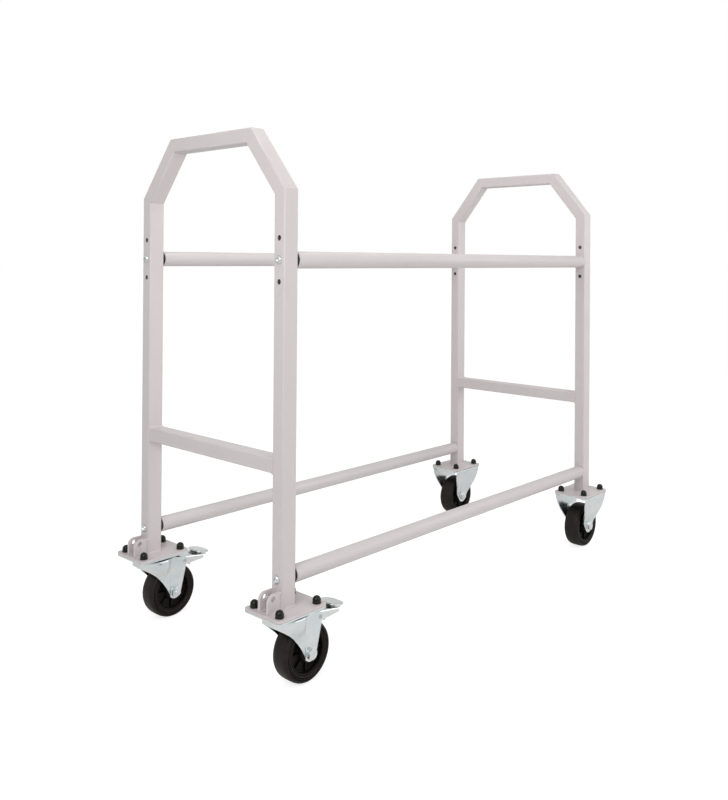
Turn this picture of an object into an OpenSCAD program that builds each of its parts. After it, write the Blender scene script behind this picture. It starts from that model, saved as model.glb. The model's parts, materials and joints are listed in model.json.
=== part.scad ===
// Tyre trolley: two end hoops of rectangular tube joined by four round rails,
// standing on two braked swivel casters and two fixed casters.
// X runs along the rails with the brake end at -X, Z is up and the floor is z = 0.

/* [End frames] */
// Length over the outer faces of the two end frames
frame_length = 1000; // [800:10:1400]
// Width over the outer faces of the uprights
frame_width = 400; // [360:5:600]
// Height of the top bars above the floor
frame_height = 905; // [880:5:1100]
// Width of the frame tube along the trolley
tube_width = 30; // [26:1:40]
// Depth of the frame tube across the trolley
tube_depth = 25; // [22:1:32]
// Wall of the frame tube
tube_wall = 2; // [1.5:0.1:3]
// Outer corner radius of the frame tube
tube_corner = 2.5; // [2:0.1:4]
// Height that an inclined shoulder covers
shoulder_drop = 105; // [70:1:140]
// Width that an inclined shoulder covers
shoulder_inset = 86; // [60:1:120]
// Height of the crossbar's centre line above the floor
crossbar_height = 356; // [260:1:480]

/* [Rails] */
// Outer diameter of a rail
rail_diameter = 28; // [26:0.5:34]
// Wall of a rail
rail_wall = 2; // [1.5:0.1:2.5]
// Height of the upper rails' centre line above the floor
upper_rail_height = 686; // [560:1:720]
// Height of the lower rails' centre line above the floor
lower_rail_height = 178; // [172:1:230]
// Distance between two neighbouring height holes
height_step = 35; // [25:1:45]
// Length of the dark collar between an upright and a rail end
collar_length = 4; // [2:0.5:8]
// Diameter of that collar
collar_diameter = 22; // [18:0.5:25]
// How far a plug or an insert reaches into its rail
plug_depth = 20; // [18:1:40]

/* [Fasteners] */
// Thread diameter of the rail screws
screw_diameter = 8; // [6:0.5:9]
// Head diameter of a rail screw
screw_head_diameter = 14; // [12:0.5:18]
// Head height of a rail screw
screw_head_height = 4.4; // [3:0.1:6]
// Thread length of a rail screw inside its plug or insert
screw_grip = 16; // [10:1:18]
// Thread diameter of the caster bolts
bolt_diameter = 6; // [5:0.5:8]
// Width across flats of a caster bolt's head and nut
bolt_flats = 10; // [9:0.5:12]
// Head height of a caster bolt
bolt_head_height = 4; // [3:0.1:5]
// Height of a caster nut
bolt_nut_height = 5; // [4:0.1:5.5]
// Height of a nut cap over the base plate
cap_height = 12.5; // [11:0.5:17]
// Wall of a nut cap
cap_wall = 1.4; // [0.8:0.1:2]

/* [Base plates and tow ears] */
// Length of a base plate along the trolley
plate_length = 105; // [100:1:120]
// Width of a base plate
plate_width = 85; // [82:1:100]
// Thickness of a base plate
plate_thickness = 4; // [3:0.5:6]
// Corner radius of the base plates and the caster plates
plate_corner = 6; // [3:0.5:10]
// How far a base plate reaches out past the upright's outer face
plate_reach = 32.5; // [30:0.5:36]
// Spacing of the caster bolts along the trolley
bolt_spacing_x = 80; // [80:1:84]
// Spacing of the caster bolts across the trolley
bolt_spacing_y = 60; // [58:1:64]
// Thickness of a tow ear
ear_thickness = 5; // [3:0.5:7]
// How far a tow ear stands out from the upright
ear_reach = 28; // [26:0.5:30]
// Height of a tow ear over the base plate
ear_height = 30; // [28:0.5:36]
// Radius of a tow ear's outer top corner
ear_corner = 12; // [6:0.5:13]
// Diameter of the tow pin hole
tow_hole_diameter = 9; // [7:0.5:11]
// Distance of the tow pin hole from the upright
tow_hole_out = 17; // [14:0.5:18]
// Height of the tow pin hole over the base plate
tow_hole_up = 22; // [14:0.5:22.5]

/* [Casters] */
// Height of a caster from the floor to the top of its plate
caster_height = 128; // [127:0.5:134]
// Wheel diameter
wheel_diameter = 100; // [94:1:101]
// Width of the tyre tread
tread_width = 35; // [28:1:36]
// Radial thickness of the tyre
tyre_thickness = 13; // [9:0.5:15]
// Sheet thickness of the caster plates, forks and brackets
sheet = 3; // [2.5:0.1:3.5]
// Clear width between the legs of a fork or bracket
fork_gap = 38; // [36:0.5:42]
// Distance of a swivel caster's axle behind its swivel axis
trail = 35; // [32:0.5:36]
// Diameter of a wheel's axle bolt
axle_diameter = 10; // [8:0.5:12]
// Wall of the sleeve that a wheel turns on
sleeve_wall = 3; // [2:0.5:4]
// Width across flats of an axle bolt's head and nut
axle_flats = 17; // [15:0.5:20]
// Height of an axle bolt's head and nut
axle_head_height = 6.5; // [5:0.5:8]
// Radius of the round crown on top of a fork
crown_radius = 38; // [36:0.5:39.5]
// Gap between a fork's crown and the plate over it
crown_gap = 4; // [3.5:0.1:5]
// Diameter of the kingpin
kingpin_diameter = 12; // [10:0.5:14]
// Width across flats of the kingpin's head
kingpin_flats = 19; // [17:0.5:22]
// Diameter of a bearing ball
ball_diameter = 4.4; // [4:0.1:4.4]
// Radius of the ring of balls
ball_ring_radius = 24; // [20:0.5:25]
// Radius of a fork leg's end round the axle
leg_end_radius = 13; // [11:0.5:15]
// Radius of a fixed bracket's leg end round the axle
bracket_end_radius = 13; // [11:0.5:16]

/* [Brake pedal] */
// Distance of the brake pin behind the swivel axis
brake_pin_out = 57; // [56:0.5:59]
// Diameter of the brake pin
brake_pin_diameter = 6; // [5:0.5:7]
// Distance of the pedal's tip behind the swivel axis
pedal_reach = 121; // [116:1:130]
// Slope of the pedal at rest
pedal_slope = 3; // [2:0.5:4]
// Angle that the pedal travels when it is pressed
pedal_travel = 12; // [8:1:12]
// Height of the side flanges of a pedal
pedal_flange_height = 10; // [7:0.5:11]
// Length of the raised foot pad along the pedal
pad_length = 32; // [28:1:36]
// Width of the raised foot pad across the pedal
pad_width = 42; // [34:1:44]
// Height of the raised foot pad
pad_height = 5; // [4:0.5:6]

/* [Hidden] */
$fn = 64;

// The two ends and the two sides, as signs
brake_end = -1;
fixed_end = 1;
right = -1;
left = 1;

// Colours
frame_paint = [0.78, 0.77, 0.76];
zinc = [0.74, 0.76, 0.78];
steel = [0.60, 0.61, 0.63];
black_plastic = [0.06, 0.06, 0.07];
rubber = [0.09, 0.09, 0.09];

// Clearances: turning fit, loose fit and the play of a screw in its hole
fit = 0.05;
play = 0.3;
hole_play = 0.5;
cut = 1;

// Heights
floor_to_base = caster_height + plate_thickness;
caster_plate_under = caster_height - sheet;
crown_top = caster_plate_under - crown_gap;
crown_under = crown_top - sheet;
wheel_radius = wheel_diameter / 2;

// Places of the uprights, the plates and the rail ends
end_x = frame_length / 2 - tube_width / 2;
upright_y = frame_width / 2 - tube_depth / 2;
plate_x = frame_length / 2 + plate_reach - plate_length / 2;
rail_stop = frame_length / 2 - tube_width;
screw_hole_diameter = screw_diameter + 2 * hole_play;
bolt_hole_diameter = bolt_diameter + 2 * hole_play;
rail_bore = rail_diameter - 2 * rail_wall;
rail_heights = [lower_rail_height, upper_rail_height];
hole_heights = [
    lower_rail_height,
    upper_rail_height - height_step,
    upper_rail_height,
    upper_rail_height + height_step
];

// Mitre points of the left side as [y, z], on the outer and inner edge of the hoop
shoulder_angle = atan2(shoulder_inset, shoulder_drop);
low_outer = [frame_width / 2, frame_height - shoulder_drop];
low_inner = low_outer - [tube_depth, tube_depth * tan(shoulder_angle / 2)];
top_outer = [frame_width / 2 - shoulder_inset, frame_height];
top_inner = top_outer - [tube_depth * tan(45 - shoulder_angle / 2), tube_depth];
low_middle = (low_outer + low_inner) / 2;
top_middle = (top_outer + top_inner) / 2;

// Bolts, nuts and caps
hex_ratio = 1 / cos(30);
bolt_end_over_nut = 2;
cap_play = 0.1;
cap_inner_radius = bolt_flats * hex_ratio / 2 + cap_play;
cap_outer_radius = cap_inner_radius + cap_wall;
socket_flats = 5;
socket_depth = 2.4;
head_chamfer = 1.2;

// Swivel head
race_radius = ball_ring_radius + ball_diameter;
race_gap = 0.8;
ball_centre = crown_top + race_gap / 2;
ball_count = 18;
rivet_lip = 3;
rivet_radius = kingpin_diameter / 2 + rivet_lip;
rivet_depth = 2;
lower_race_wall = 9;
lower_race_radius = kingpin_diameter / 2 + lower_race_wall;
lower_race_height = 4;
kingpin_head_height = 7;
lower_race_top = crown_under - play;
kingpin_shoulder = lower_race_top - lower_race_height;

// Fork, as seen from the side with x behind the swivel axis; depths are under its crown
leg_bend_start = 4;
leg_bend_end = 22;
leg_top_inset = 1;
skirt_front_depth = 9;
skirt_back_depth = 5;
skirt_front_run = 26;
crown_edge = 2;
scoop_end = 2;
scoop_radius = 150;
brake_pin_depth = 15.5;
brake_lug_radius = 7;
brake_lug_root = 14;
leg_heel_reach = 3;
leg_outer = fork_gap / 2 + sheet;
leg_bend_low = crown_under - leg_bend_end;
leg_bend_high = crown_under - leg_bend_start;
leg_top_y = crown_radius - leg_top_inset;
leg_slope = atan2(leg_top_y - leg_outer, leg_bend_high - leg_bend_low);
skirt_high = crown_under - skirt_back_depth;
scoop_top = [-crown_radius, crown_under - skirt_front_depth];
scoop_foot = [trail - leg_end_radius + scoop_end, wheel_radius - 2 * scoop_end];
brake_pin_z = crown_under - brake_pin_depth;
leg_heel = [brake_pin_out + leg_heel_reach, brake_pin_z - brake_lug_radius];

// Brake pedal
pedal_half = fork_gap / 2 - play;
pedal_sheet = 2.5;
barrel_wall = 2;
barrel_radius = brake_pin_diameter / 2 + barrel_wall;
pedal_run = pedal_reach - brake_pin_out;
flange_back = 1;
flange_front = 16;
flange_tip_height = 4.5;
flange_start = barrel_radius + flange_back;
flange_run = pedal_run - flange_front;
pad_neck = 4;
pad_plate = 3;
pad_flat = 1;
pad_neck_round = 8;
shoe_start = 4;
shoe_run = 14;
shoe_drop = 16;
shoe_inset = 2;
shoe_half = tread_width / 2 - shoe_inset;
shoe_gap = 0.5;
pin_head_height = 0.4;
pin_head_radius = brake_pin_diameter / 2 + pin_head_height;

// Fixed bracket
bracket_bend_rise = 16;
bracket_bend_high = caster_plate_under - sheet;
bracket_bend_low = wheel_radius + bracket_bend_rise;
bracket_slope = atan2(plate_width / 2 - leg_outer, bracket_bend_high - bracket_bend_low);

// Wheel
sleeve_radius = axle_diameter / 2 + sleeve_wall;
tyre_round = 5;
hub_radius = wheel_radius - tyre_thickness;
hub_boss_wall = 7;
hub_boss_radius = sleeve_radius + hub_boss_wall;
hub_boss_play = 1;
hub_boss_half = fork_gap / 2 - hub_boss_play;
hub_rim = 4;
hub_rim_inset = 1;
hub_rim_half = tread_width / 2 - hub_rim_inset;
hub_web_half = 7;

// The point half as far again beyond b, on the line from a to b
function past(a, b) = b + (b - a) / 2;

// Where the line from p touches the circle round c, on the given hand
function touch(p, c, r, hand) =
    let (v = p - c)
    let (turn = atan2(v[1], v[0]) + hand * acos(r / norm(v)))
    c + r * [cos(turn), sin(turn)];

// Centre of the circle of radius r through a and b, to the right of the line from a to b
function arc_centre(a, b, r) =
    let (half = norm(b - a) / 2)
    let (along = (b - a) / (2 * half))
    (a + b) / 2 + sqrt(r * r - half * half) * [along[1], -along[0]];

// An outline drawn as [y, z], given its thickness along X
module prism_x(width) {
    rotate([90, 0, 90])
        linear_extrude(width, center = true)
            children();
}

// An outline drawn as [x, z], given its thickness along Y
module prism_y(width) {
    rotate([90, 0, 0])
        linear_extrude(width, center = true)
            children();
}

// A cylinder along X that starts at the origin
module rod_x(radius, length) {
    rotate([0, 90, 0])
        cylinder(r = radius, h = length);
}

// A cylinder along Y, centred on the origin
module rod_y(radius, length) {
    rotate([90, 0, 0])
        cylinder(r = radius, h = length, center = true);
}

module rounded_rect(length, width, radius) {
    square([length - 2 * radius, width], center = true);
    square([length, width - 2 * radius], center = true);
    for (x = [-1, 1], y = [-1, 1])
        translate([x * (length / 2 - radius), y * (width / 2 - radius)])
            circle(radius);
}

module tube_section() {
    difference() {
        rounded_rect(tube_width, tube_depth, tube_corner);
        square([tube_width - 2 * tube_wall, tube_depth - 2 * tube_wall], center = true);
    }
}

// Moves a tube drawn for the left side to one end and one side
module at_hoop(end, side) {
    translate([end * end_x, 0, 0])
        mirror([0, side == right ? 1 : 0, 0])
            children();
}

module upright(end, side) {
    top_edge = past(low_inner, low_outer);
    low_edge = past(low_outer, low_inner);
    color(frame_paint)
        at_hoop(end, side)
            difference() {
                intersection() {
                    translate([0, upright_y, floor_to_base])
                        linear_extrude(frame_height - floor_to_base)
                            tube_section();
                    prism_x(tube_width + cut)
                        polygon([
                            top_edge, low_edge,
                            [low_edge[0], floor_to_base], [top_edge[0], floor_to_base]
                        ]);
                }
                for (z = hole_heights)
                    translate([-tube_width, upright_y, z])
                        rod_x(screw_hole_diameter / 2, 2 * tube_width);
            }
}

module shoulder(end, side) {
    color(frame_paint)
        at_hoop(end, side)
            intersection() {
                translate([0, low_middle[0], low_middle[1]])
                    rotate([shoulder_angle, 0, 0])
                        translate([0, 0, -tube_depth])
                            linear_extrude(norm(top_middle - low_middle) + 2 * tube_depth)
                                tube_section();
                prism_x(tube_width + cut)
                    polygon([
                        past(low_outer, low_inner), past(low_inner, low_outer),
                        past(top_inner, top_outer), past(top_outer, top_inner)
                    ]);
            }
}

module top_bar(end) {
    high = past(top_inner, top_outer);
    low = past(top_outer, top_inner);
    color(frame_paint)
        translate([end * end_x, 0, 0])
            intersection() {
                translate([0, 0, frame_height - tube_depth / 2])
                    rotate([90, 0, 0])
                        linear_extrude(frame_width, center = true)
                            tube_section();
                prism_x(tube_width + cut)
                    polygon([high, low, [-low[0], low[1]], [-high[0], high[1]]]);
            }
}

module crossbar(end) {
    color(frame_paint)
        translate([end * end_x, 0, crossbar_height])
            rotate([90, 0, 0])
                linear_extrude(frame_width - 2 * tube_depth, center = true)
                    tube_section();
}

// Moves a piece drawn round the origin to the plate of one end and one side
module at_plate(end, side) {
    translate([end * plate_x, side * upright_y, 0])
        children();
}

module at_bolts() {
    for (x = [-1, 1], y = [-1, 1])
        translate([x * bolt_spacing_x / 2, y * bolt_spacing_y / 2, 0])
            children();
}

module bolt_holes() {
    at_bolts()
        translate([0, 0, caster_plate_under - cut])
            cylinder(d = bolt_hole_diameter, h = sheet + plate_thickness + 2 * cut);
}

module base_plate(end, side) {
    color(frame_paint)
        at_plate(end, side)
            difference() {
                translate([0, 0, caster_height])
                    linear_extrude(plate_thickness)
                        rounded_rect(plate_length, plate_width, plate_corner);
                bolt_holes();
            }
}

module tow_ear_outline() {
    square([ear_reach, ear_height - ear_corner]);
    square([ear_reach - ear_corner, ear_height]);
    translate([ear_reach - ear_corner, ear_height - ear_corner])
        circle(ear_corner);
}

module tow_ears(side) {
    color(frame_paint)
        for (face = [-1, 1])
            translate([
                -frame_length / 2,
                side * upright_y + face * (tube_depth - ear_thickness) / 2,
                floor_to_base
            ])
                mirror([1, 0, 0])
                    prism_y(ear_thickness)
                        difference() {
                            tow_ear_outline();
                            translate([tow_hole_out, tow_hole_up])
                                circle(d = tow_hole_diameter);
                        }
}

module rail(side, height) {
    color(frame_paint)
        translate([collar_length - rail_stop, side * upright_y, height])
            difference() {
                rod_x(rail_diameter / 2, 2 * rail_stop - collar_length);
                translate([-cut, 0, 0])
                    rod_x(rail_bore / 2, 2 * rail_stop - collar_length + 2 * cut);
            }
}

module at_rails() {
    for (side = [right, left], height = rail_heights)
        translate([0, side * upright_y, height])
            children();
}

module rail_end_plugs() {
    color(black_plastic)
        at_rails()
            translate([-rail_stop, 0, 0])
                difference() {
                    union() {
                        rod_x(collar_diameter / 2, collar_length);
                        translate([collar_length, 0, 0])
                            rod_x(rail_bore / 2 - fit, plug_depth);
                    }
                    translate([-cut, 0, 0])
                        rod_x(screw_diameter / 2 + fit, collar_length + plug_depth + 2 * cut);
                }
}

module rail_inserts() {
    color(steel)
        at_rails()
            translate([rail_stop - plug_depth, 0, 0])
                difference() {
                    rod_x(rail_bore / 2 - fit, plug_depth);
                    translate([-cut, 0, 0])
                        rod_x(screw_diameter / 2 + fit, plug_depth + 2 * cut);
                }
}

// A button-head screw along X, with its head's seat at the origin and its head towards -X
module rail_screw(length) {
    difference() {
        union() {
            rod_x(screw_diameter / 2, length);
            translate([-screw_head_height, 0, 0])
                rotate([0, 90, 0])
                    cylinder(
                        r1 = screw_head_diameter / 2 - 2 * head_chamfer,
                        r2 = screw_head_diameter / 2,
                        h = 2 * head_chamfer
                    );
            translate([2 * head_chamfer - screw_head_height, 0, 0])
                rod_x(screw_head_diameter / 2, screw_head_height - 2 * head_chamfer);
        }
        translate([-screw_head_height - cut, 0, 0])
            rotate([0, 90, 0])
                cylinder(d = socket_flats * hex_ratio, h = socket_depth + cut, $fn = 6);
    }
}

module rail_screws() {
    color(zinc)
        at_rails() {
            translate([-frame_length / 2, 0, 0])
                rail_screw(tube_width + collar_length + screw_grip);
            translate([frame_length / 2, 0, 0])
                mirror([1, 0, 0])
                    rail_screw(tube_width + screw_grip);
        }
}

module at_casters() {
    for (end = [brake_end, fixed_end], side = [right, left])
        at_plate(end, side)
            children();
}

module caster_bolts() {
    color(zinc)
        at_casters()
            at_bolts()
                translate([0, 0, caster_plate_under - bolt_head_height]) {
                    cylinder(d = bolt_flats * hex_ratio, h = bolt_head_height, $fn = 6);
                    cylinder(
                        d = bolt_diameter,
                        h = bolt_head_height + sheet + plate_thickness
                            + bolt_nut_height + bolt_end_over_nut
                    );
                }
}

module caster_nuts() {
    color(zinc)
        at_casters()
            at_bolts()
                translate([0, 0, floor_to_base])
                    difference() {
                        cylinder(d = bolt_flats * hex_ratio, h = bolt_nut_height, $fn = 6);
                        translate([0, 0, -cut])
                            cylinder(d = bolt_diameter + 2 * fit, h = bolt_nut_height + 2 * cut);
                    }
}

module nut_cap() {
    straight = cap_height - cap_outer_radius;
    difference() {
        rotate_extrude()
            intersection() {
                union() {
                    square([cap_outer_radius, straight]);
                    translate([0, straight])
                        circle(cap_outer_radius);
                }
                square([cap_outer_radius, cap_height]);
            }
        translate([0, 0, -cut])
            cylinder(r = cap_inner_radius, h = bolt_nut_height + play + cut);
        cylinder(
            r = bolt_diameter / 2 + play,
            h = bolt_nut_height + bolt_end_over_nut + play
        );
    }
}

module nut_caps() {
    color(black_plastic)
        at_casters()
            at_bolts()
                translate([0, 0, floor_to_base])
                    nut_cap();
}

module ball_ring() {
    for (i = [0 : ball_count - 1])
        rotate(i * 360 / ball_count)
            translate([ball_ring_radius, 0, ball_centre])
                children();
}

// The round groove that the balls run in
module ball_groove(gap) {
    translate([0, 0, ball_centre])
        rotate_extrude()
            translate([ball_ring_radius, 0])
                circle(ball_diameter / 2 + gap);
}

module swivel_plate(side) {
    color(zinc)
        at_plate(brake_end, side)
            difference() {
                union() {
                    translate([0, 0, caster_plate_under])
                        linear_extrude(sheet)
                            rounded_rect(plate_length, plate_width, plate_corner);
                    translate([0, 0, crown_top + race_gap])
                        cylinder(r = race_radius, h = crown_gap - race_gap);
                }
                bolt_holes();
                ball_groove(fit);
                translate([0, 0, crown_top])
                    cylinder(r = kingpin_diameter / 2 + fit, h = crown_gap + sheet + cut);
                translate([0, 0, caster_height - rivet_depth])
                    cylinder(r = rivet_radius + fit, h = rivet_depth + cut);
            }
}

module kingpin(side) {
    color(steel)
        at_plate(brake_end, side) {
            translate([0, 0, kingpin_shoulder - kingpin_head_height])
                cylinder(d = kingpin_flats * hex_ratio, h = kingpin_head_height, $fn = 6);
            translate([0, 0, kingpin_shoulder])
                cylinder(d = kingpin_diameter, h = caster_height - kingpin_shoulder);
            translate([0, 0, caster_height - rivet_depth])
                cylinder(r = rivet_radius, h = rivet_depth);
        }
}

module bearing_balls(side) {
    color(steel)
        at_plate(brake_end, side)
            ball_ring()
                sphere(d = ball_diameter);
}

module lower_race(side) {
    color(steel)
        at_plate(brake_end, side)
            translate([0, 0, kingpin_shoulder])
                difference() {
                    cylinder(r = lower_race_radius, h = lower_race_height);
                    translate([0, 0, -cut])
                        cylinder(r = kingpin_diameter / 2 + fit, h = lower_race_height + 2 * cut);
                }
}

// Bent sheet of one fork leg or bracket leg, as [y, z] from the top edge down to the foot
module bent_leg_profile(top_y, top_z, high_z, low_z, slope) {
    inner_rise = sheet * tan(slope / 2);
    foot_z = wheel_radius - 2 * leg_end_radius;
    polygon([
        [top_y, top_z], [top_y, high_z], [leg_outer, low_z], [leg_outer, foot_z],
        [fork_gap / 2, foot_z], [fork_gap / 2, low_z + inner_rise],
        [top_y - sheet, high_z + inner_rise], [top_y - sheet, top_z]
    ]);
}

module fork_leg_outline() {
    scoop = arc_centre(scoop_top, scoop_foot, scoop_radius);
    axle = [trail, wheel_radius];
    difference() {
        polygon([
            [-crown_radius, crown_under], [crown_radius, crown_under],
            leg_heel, touch(leg_heel, axle, leg_end_radius, -1),
            axle, scoop_foot, scoop_top
        ]);
        translate(scoop)
            circle(scoop_radius, $fn = 96);
    }
    translate(axle)
        circle(leg_end_radius);
}

module fork_legs() {
    for (y = [0, 1])
        mirror([0, y, 0])
            difference() {
                intersection() {
                    prism_x(4 * crown_radius)
                        bent_leg_profile(
                            leg_top_y, crown_under, leg_bend_high, leg_bend_low, leg_slope
                        );
                    prism_y(4 * crown_radius)
                        fork_leg_outline();
                }
                translate([0, 0, leg_bend_low])
                    difference() {
                        cylinder(r = 3 * crown_radius, h = crown_top - leg_bend_low);
                        translate([0, 0, -cut])
                            cylinder(r = crown_radius, h = crown_top - leg_bend_low + 2 * cut);
                    }
            }
}

// The two lugs that carry the brake pin behind the crown
module brake_lugs() {
    root = [brake_lug_root, crown_under];
    pin = [brake_pin_out, brake_pin_z];
    for (y = [-1, 1])
        translate([0, y * (fork_gap + sheet) / 2, 0])
            prism_y(sheet) {
                translate(pin)
                    circle(brake_lug_radius);
                polygon([
                    root,
                    touch(root, pin, brake_lug_radius, -1),
                    pin,
                    leg_heel,
                    [leg_heel[0] - leg_heel_reach, leg_bend_low - sheet],
                    [brake_lug_root, leg_bend_low - sheet]
                ]);
            }
}

module crown_skirt() {
    intersection() {
        difference() {
            translate([0, 0, leg_bend_low])
                cylinder(r = crown_radius, h = crown_under - leg_bend_low);
            translate([0, 0, leg_bend_low - cut])
                cylinder(r = crown_radius - sheet, h = crown_under - leg_bend_low + 2 * cut);
        }
        prism_y(3 * crown_radius)
            intersection() {
                fork_leg_outline();
                union() {
                    translate([-crown_radius, leg_bend_low])
                        square([skirt_front_run, crown_under - leg_bend_low]);
                    translate([-crown_radius, skirt_high])
                        square([2 * crown_radius, skirt_back_depth]);
                }
            }
    }
}

module crown_disc() {
    rotate_extrude()
        difference() {
            union() {
                translate([0, crown_under])
                    square([crown_radius, sheet - crown_edge]);
                translate([0, crown_under])
                    square([crown_radius - crown_edge, sheet]);
                translate([crown_radius - crown_edge, crown_top - crown_edge])
                    circle(crown_edge);
            }
            translate([0, crown_under - 2 * crown_edge])
                square([crown_radius, 2 * crown_edge]);
        }
}

module swivel_fork(side) {
    color(zinc)
        at_plate(brake_end, side)
            difference() {
                union() {
                    crown_disc();
                    crown_skirt();
                    fork_legs();
                    brake_lugs();
                }
                ball_groove(play);
                translate([0, 0, crown_under - cut])
                    cylinder(r = kingpin_diameter / 2 + fit, h = sheet + 2 * cut);
                translate([trail, 0, wheel_radius])
                    rod_y(axle_diameter / 2 + fit, 4 * leg_outer);
                translate([brake_pin_out, 0, brake_pin_z])
                    rod_y(brake_pin_diameter / 2 + fit, 4 * leg_outer);
            }
}

// Bolt with its head on the trolley's outer side, and its nut, for a wheel at the origin
module axle_bolt(side) {
    bolt_length = 2 * leg_outer + axle_head_height + bolt_end_over_nut;
    head_y = side * (leg_outer + axle_head_height / 2);
    translate([0, head_y, 0])
        axle_hex();
    translate([0, side * (leg_outer - bolt_length / 2), 0])
        rod_y(axle_diameter / 2, bolt_length);
    translate([0, -head_y, 0])
        difference() {
            axle_hex();
            rod_y(axle_diameter / 2 + fit, axle_head_height + 2 * cut);
        }
}

module axle_hex() {
    rotate([90, 0, 0])
        cylinder(d = axle_flats * hex_ratio, h = axle_head_height, center = true, $fn = 6);
}

module axle_sleeve() {
    difference() {
        rod_y(sleeve_radius, fork_gap);
        rod_y(axle_diameter / 2 + fit, fork_gap + 2 * cut);
    }
}

// Wheel outlines are drawn as [radius, y] and spun about the axle
module spun_wheel_outline() {
    rotate([90, 0, 0])
        rotate_extrude($fn = 128)
            children();
}

module wheel_hub() {
    bore = sleeve_radius + fit;
    spun_wheel_outline() {
        translate([bore, -hub_boss_half])
            square([hub_boss_radius - bore, 2 * hub_boss_half]);
        translate([bore, -hub_web_half])
            square([hub_radius - bore, 2 * hub_web_half]);
        translate([hub_radius - hub_rim, -hub_rim_half])
            square([hub_rim, 2 * hub_rim_half]);
    }
}

module wheel_tyre() {
    spun_wheel_outline() {
        translate([hub_radius, -tread_width / 2])
            square([tyre_thickness - tyre_round, tread_width]);
        translate([hub_radius, tyre_round - tread_width / 2])
            square([tyre_thickness, tread_width - 2 * tyre_round]);
        for (y = [-1, 1])
            translate([wheel_radius - tyre_round, y * (tread_width / 2 - tyre_round)])
                circle(tyre_round);
    }
}

module at_swivel_wheel(side) {
    at_plate(brake_end, side)
        translate([trail, 0, wheel_radius])
            children();
}

module at_fixed_wheel(side) {
    at_plate(fixed_end, side)
        translate([0, 0, wheel_radius])
            children();
}

module swivel_axle(side) {
    color(zinc)
        at_swivel_wheel(side)
            axle_bolt(side);
}

module swivel_sleeve(side) {
    color(steel)
        at_swivel_wheel(side)
            axle_sleeve();
}

module swivel_hub(side) {
    color(black_plastic)
        at_swivel_wheel(side)
            wheel_hub();
}

module swivel_tyre(side) {
    color(rubber)
        at_swivel_wheel(side)
            wheel_tyre();
}

// The pedal is drawn with its pin at the origin and its sheet along +X, before it is sloped
module pedal_body() {
    top = barrel_radius;
    pad_round = min(pad_length, pad_width) / 2 - pad_flat;
    pad_centre = pedal_run - pad_length / 2;
    rod_y(barrel_radius, 2 * pedal_half);
    translate([pedal_run / 2 - pad_length / 4, 0, top - pedal_sheet / 2])
        cube([pedal_run - pad_length / 2, 2 * pedal_half, pedal_sheet], center = true);
    for (y = [-1, 1])
        translate([0, y * (pedal_half - pedal_sheet / 2), 0])
            prism_y(pedal_sheet)
                polygon([
                    [flange_start, top], [flange_run, top],
                    [flange_run, top - flange_tip_height],
                    [flange_start, top - pedal_flange_height]
                ]);
    translate([pad_centre, 0, top - pedal_sheet])
        linear_extrude(pad_height)
            rounded_rect(pad_length - 2 * pad_neck, pad_width - 3 * pad_neck, pad_neck_round);
    translate([pad_centre, 0, top + pad_height - pad_plate])
        linear_extrude(pad_plate)
            rounded_rect(pad_length, pad_width, pad_round);
}

// Block under the pedal, hollowed to stay clear of the tyre when the pedal is down
module pedal_shoe() {
    translate([shoe_start, -shoe_half, barrel_radius - pedal_sheet - shoe_drop])
        cube([shoe_run, 2 * shoe_half, shoe_drop]);
}

module brake_pedal(side) {
    pin_to_axle = [trail - brake_pin_out, 0, wheel_radius - brake_pin_z];
    color(zinc)
        at_plate(brake_end, side)
            translate([brake_pin_out, 0, brake_pin_z])
                difference() {
                    rotate([0, pedal_slope, 0]) {
                        pedal_body();
                        pedal_shoe();
                    }
                    rod_y(brake_pin_diameter / 2 + fit, 4 * leg_outer);
                    for (turn = [0, pedal_travel])
                        rotate([0, -turn, 0])
                            translate(pin_to_axle)
                                rod_y(wheel_radius + shoe_gap, tread_width + cut);
                }
}

module brake_pin(side) {
    color(steel)
        at_plate(brake_end, side)
            translate([brake_pin_out, 0, brake_pin_z]) {
                rod_y(brake_pin_diameter / 2, 2 * leg_outer + pin_head_height);
                for (y = [-1, 1])
                    translate([0, y * (leg_outer + pin_head_height / 2), 0])
                        rod_y(pin_head_radius, pin_head_height);
            }
}

module fixed_bracket(side) {
    corner = [plate_length / 2, bracket_bend_high - sheet];
    axle = [0, wheel_radius];
    tip = touch(corner, axle, bracket_end_radius, -1);
    color(zinc)
        at_plate(fixed_end, side)
            difference() {
                union() {
                    translate([0, 0, caster_plate_under])
                        linear_extrude(sheet)
                            rounded_rect(plate_length, plate_width, plate_corner);
                    for (y = [0, 1])
                        mirror([0, y, 0])
                            intersection() {
                                prism_x(plate_length - 2 * plate_corner)
                                    bent_leg_profile(
                                        plate_width / 2, caster_plate_under,
                                        bracket_bend_high, bracket_bend_low, bracket_slope
                                    );
                                prism_y(2 * plate_width) {
                                    polygon([
                                        [-corner[0], caster_plate_under],
                                        [corner[0], caster_plate_under],
                                        corner, tip, axle, [-tip[0], tip[1]],
                                        [-corner[0], corner[1]]
                                    ]);
                                    translate(axle)
                                        circle(bracket_end_radius);
                                }
                            }
                }
                bolt_holes();
                translate([0, 0, wheel_radius])
                    rod_y(axle_diameter / 2 + fit, 4 * leg_outer);
            }
}

module fixed_axle(side) {
    color(zinc)
        at_fixed_wheel(side)
            axle_bolt(side);
}

module fixed_sleeve(side) {
    color(steel)
        at_fixed_wheel(side)
            axle_sleeve();
}

module fixed_hub(side) {
    color(black_plastic)
        at_fixed_wheel(side)
            wheel_hub();
}

module fixed_tyre(side) {
    color(rubber)
        at_fixed_wheel(side)
            wheel_tyre();
}

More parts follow.
